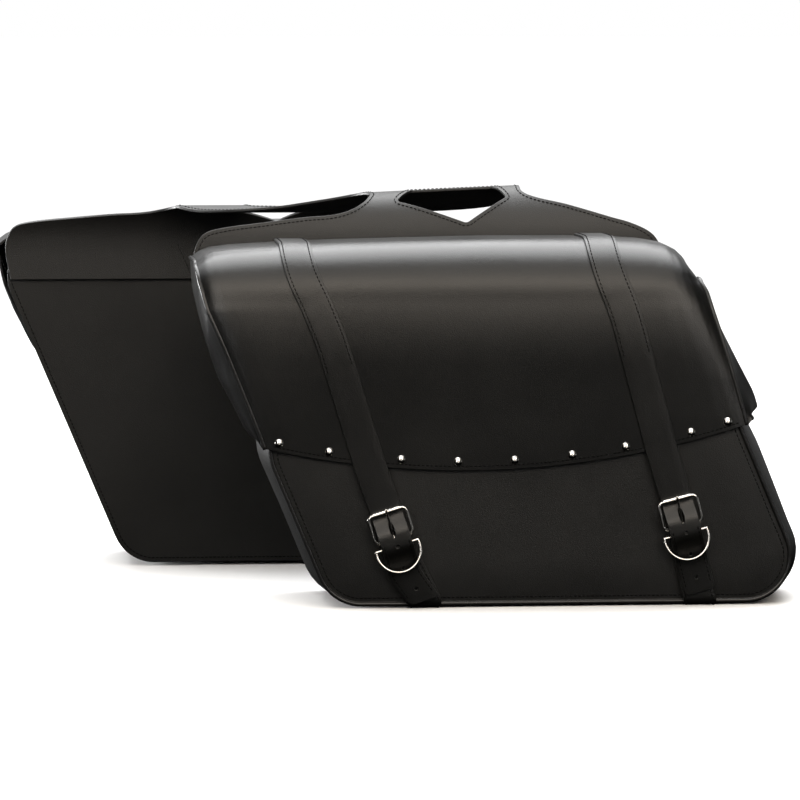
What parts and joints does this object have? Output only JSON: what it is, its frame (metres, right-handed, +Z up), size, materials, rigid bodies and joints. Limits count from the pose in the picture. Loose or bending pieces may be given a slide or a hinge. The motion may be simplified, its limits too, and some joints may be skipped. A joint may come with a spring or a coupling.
{
  "type": "motorcycle saddlebag pair",
  "caption": "Throw-over pair of slanted leather motorcycle saddlebags on one shared yoke, with curved hinged lids, buckled straps and D-rings.",
  "frame": {"origin": "centre of the pair's footprint, on the surface that it stands on", "axes": "+X from the motorcycle's front to its back, +Y from the left bag to the right bag, +Z up"},
  "size_m": [0.8084, 0.5652, 0.405],
  "materials": {
    "body_leather": "semi-gloss, fine grain",
    "lid_leather": "semi-gloss, smooth",
    "strap_leather": "semi-gloss, edge-stitched",
    "welt_leather": "gloss piping",
    "yoke_leather": "satin",
    "nickel": "polished nickel",
    "board": "matt stiffener board"
  },
  "bodies": {
    "left_bag": {"left_back_panel": "body_leather", "left_front_panel": "body_leather", "left_gusset": "body_leather", "left_body_welt": "welt_leather", "left_back_board": "board", "left_base_board": "board", "left_yoke": "yoke_leather", "left_yoke_rivets": "nickel", "left_anchor_front": "strap_leather", "left_anchor_rear": "strap_leather", "left_snap_studs": "nickel"},
    "left_lid": {"left_lid": "lid_leather", "left_lid_welt": "welt_leather", "left_lid_flap_front": "lid_leather", "left_lid_flap_rear": "lid_leather", "left_lid_studs": "nickel", "left_strap_front": "strap_leather", "left_strap_rear": "strap_leather", "left_buckle_front": "nickel", "left_buckle_rear": "nickel", "left_chape_front": "strap_leather", "left_chape_rear": "strap_leather", "left_snap_sockets": "nickel"},
    "left_d_ring_front": {"left_d_ring_front": "nickel"},
    "left_tongue_front": {"left_tongue_front": "nickel"},
    "left_roller_front": {"left_roller_front": "nickel"},
    "left_d_ring_rear": {"left_d_ring_rear": "nickel"},
    "left_tongue_rear": {"left_tongue_rear": "nickel"},
    "left_roller_rear": {"left_roller_rear": "nickel"},
    "right_bag": {"right_back_panel": "body_leather", "right_front_panel": "body_leather", "right_gusset": "body_leather", "right_body_welt": "welt_leather", "right_back_board": "board", "right_base_board": "board", "right_yoke": "yoke_leather", "right_yoke_rivets": "nickel", "right_anchor_front": "strap_leather", "right_anchor_rear": "strap_leather", "right_snap_studs": "nickel"},
    "right_lid": {"right_lid": "lid_leather", "right_lid_welt": "welt_leather", "right_lid_flap_front": "lid_leather", "right_lid_flap_rear": "lid_leather", "right_lid_studs": "nickel", "right_strap_front": "strap_leather", "right_strap_rear": "strap_leather", "right_buckle_front": "nickel", "right_buckle_rear": "nickel", "right_chape_front": "strap_leather", "right_chape_rear": "strap_leather", "right_snap_sockets": "nickel"},
    "right_d_ring_front": {"right_d_ring_front": "nickel"},
    "right_tongue_front": {"right_tongue_front": "nickel"},
    "right_roller_front": {"right_roller_front": "nickel"},
    "right_d_ring_rear": {"right_d_ring_rear": "nickel"},
    "right_tongue_rear": {"right_tongue_rear": "nickel"},
    "right_roller_rear": {"right_roller_rear": "nickel"}
  },
  "joints": [
    {"name": "yoke_fold", "type": "hinge", "parent": "left_bag", "child": "right_bag", "pos_m": [0, 0, 0.4035], "axis": [1, 0, 0], "range_deg": [-25, 60]},
    {"name": "left_lid_hinge", "type": "hinge", "parent": "left_bag", "child": "left_lid", "pos_m": [0.1028, -0.133, 0.366], "axis": [-1, 0, 0], "range_deg": [0, 100]},
    {"name": "left_front_d_ring_swing", "type": "hinge", "parent": "left_lid", "child": "left_d_ring_front", "pos_m": [-0.00579, -0.2751, 0.06337], "axis": [-0.9537, 0, -0.3007], "range_deg": [0, 140]},
    {"name": "left_front_tongue_swing", "type": "hinge", "parent": "left_lid", "child": "left_tongue_front", "pos_m": [-0.0082, -0.2751, 0.071], "axis": [0.9537, 0, 0.3007], "range_deg": [0, 60]},
    {"name": "left_front_roller_turn", "type": "hinge", "parent": "left_lid", "child": "left_roller_front", "pos_m": [-0.01662, -0.2765, 0.0977], "axis": [0.9537, 0, 0.3007], "continuous": true},
    {"name": "left_rear_d_ring_swing", "type": "hinge", "parent": "left_lid", "child": "left_d_ring_rear", "pos_m": [0.2848, -0.2751, 0.07325], "axis": [-0.9681, 0, -0.2504], "range_deg": [0, 140]},
    {"name": "left_rear_tongue_swing", "type": "hinge", "parent": "left_lid", "child": "left_tongue_rear", "pos_m": [0.2828, -0.2751, 0.081], "axis": [0.9681, 0, 0.2504], "range_deg": [0, 60]},
    {"name": "left_rear_roller_turn", "type": "hinge", "parent": "left_lid", "child": "left_roller_rear", "pos_m": [0.27579, -0.2765, 0.10811], "axis": [0.9681, 0, 0.2504], "continuous": true},
    {"name": "right_lid_hinge", "type": "hinge", "parent": "right_bag", "child": "right_lid", "pos_m": [-0.0872, 0.133, 0.366], "axis": [1, 0, 0], "range_deg": [0, 100]},
    {"name": "right_front_d_ring_swing", "type": "hinge", "parent": "right_lid", "child": "right_d_ring_front", "pos_m": [-0.19579, 0.2751, 0.06337], "axis": [0.9537, 0, 0.3007], "range_deg": [0, 140]},
    {"name": "right_front_tongue_swing", "type": "hinge", "parent": "right_lid", "child": "right_tongue_front", "pos_m": [-0.1982, 0.2751, 0.071], "axis": [-0.9537, 0, -0.3007], "range_deg": [0, 60]},
    {"name": "right_front_roller_turn", "type": "hinge", "parent": "right_lid", "child": "right_roller_front", "pos_m": [-0.20662, 0.2765, 0.0977], "axis": [0.9537, 0, 0.3007], "continuous": true},
    {"name": "right_rear_d_ring_swing", "type": "hinge", "parent": "right_lid", "child": "right_d_ring_rear", "pos_m": [0.0948, 0.2751, 0.07325], "axis": [0.9681, 0, 0.2504], "range_deg": [0, 140]},
    {"name": "right_rear_tongue_swing", "type": "hinge", "parent": "right_lid", "child": "right_tongue_rear", "pos_m": [0.0928, 0.2751, 0.081], "axis": [-0.9681, 0, -0.2504], "range_deg": [0, 60]},
    {"name": "right_rear_roller_turn", "type": "hinge", "parent": "right_lid", "child": "right_roller_rear", "pos_m": [0.08579, 0.2765, 0.10811], "axis": [0.9681, 0, 0.2504], "continuous": true}
  ]
}
